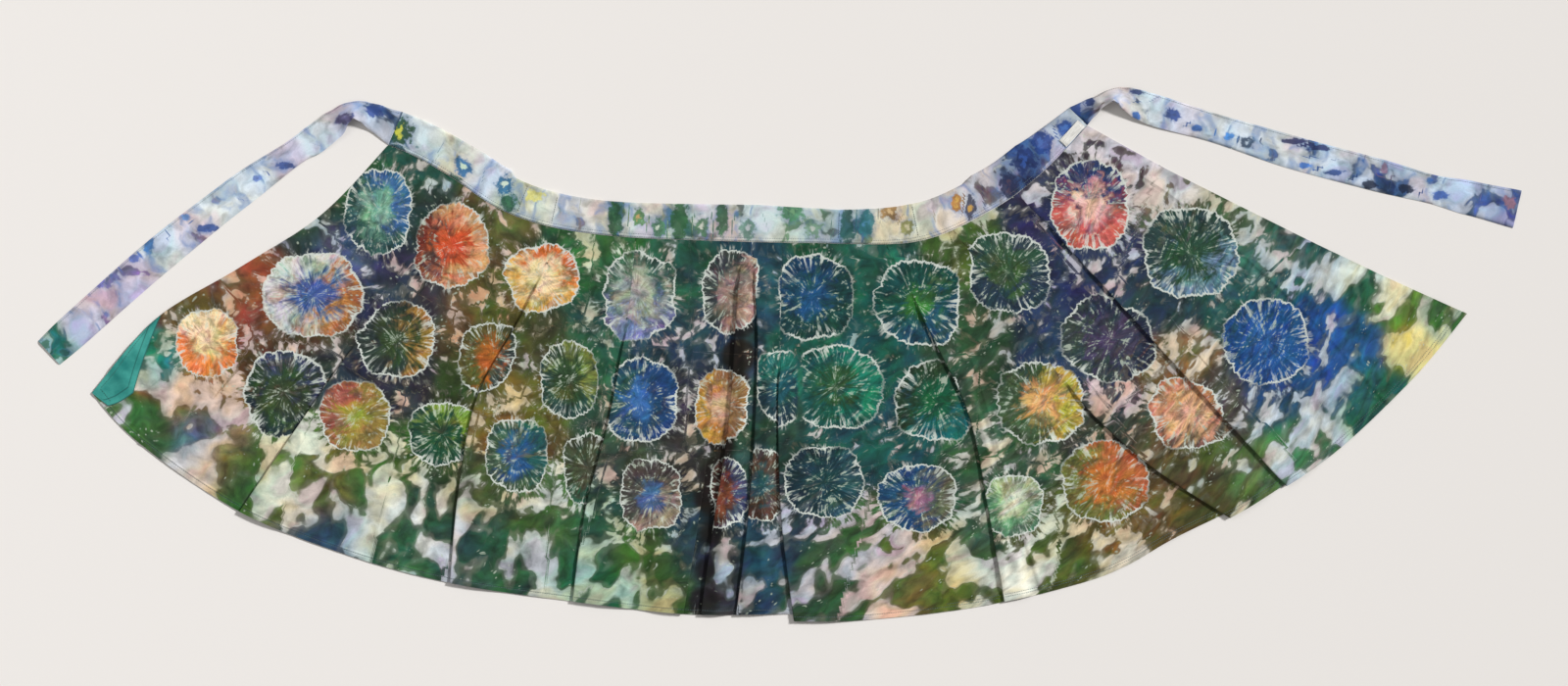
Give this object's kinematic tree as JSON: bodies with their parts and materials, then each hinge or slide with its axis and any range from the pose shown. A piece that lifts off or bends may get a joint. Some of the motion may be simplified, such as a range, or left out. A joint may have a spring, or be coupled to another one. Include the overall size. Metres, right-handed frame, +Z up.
{
  "type": "wrap skirt",
  "caption": "Half-circle wrap skirt of tie-dyed cotton, opened out and laid flat, pleated towards the hem, with a curved waistband and a long tie at each end.",
  "frame": {"origin": "bottom centre of the bounding box, within 3 mm: the middle of the opened-out skirt on the surface it lies on", "axes": "+X along the skirt from its left front to its right front, the longest way; +Y from the hem to the waistband; +Z up from the surface it lies on, through the thickness of the cloth"},
  "size_m": [2.1188, 0.763, 0.0188],
  "materials": {
    "dyed_cotton": "plain-woven cotton, tie-dyed in greens, blues, rust and yellow with white rings, matt",
    "pale_dyed_cotton": "the same cotton where the dye is thin: pale lilac and cream with blue and green blots, matt",
    "wrong_side_cotton": "the wrong side of the cotton, where the dye has gone through as an even teal, matt",
    "label_tape": "plain white woven tape, bare, slightly smoother than the cotton"
  },
  "bodies": {
    "root": {"left_front": "dyed_cotton", "back": "dyed_cotton", "right_front": "dyed_cotton", "waistband": "pale_dyed_cotton", "left_tie": "pale_dyed_cotton", "right_tie": "pale_dyed_cotton", "turned_corner": "wrong_side_cotton", "label": "label_tape"}
  },
  "joints": []
}
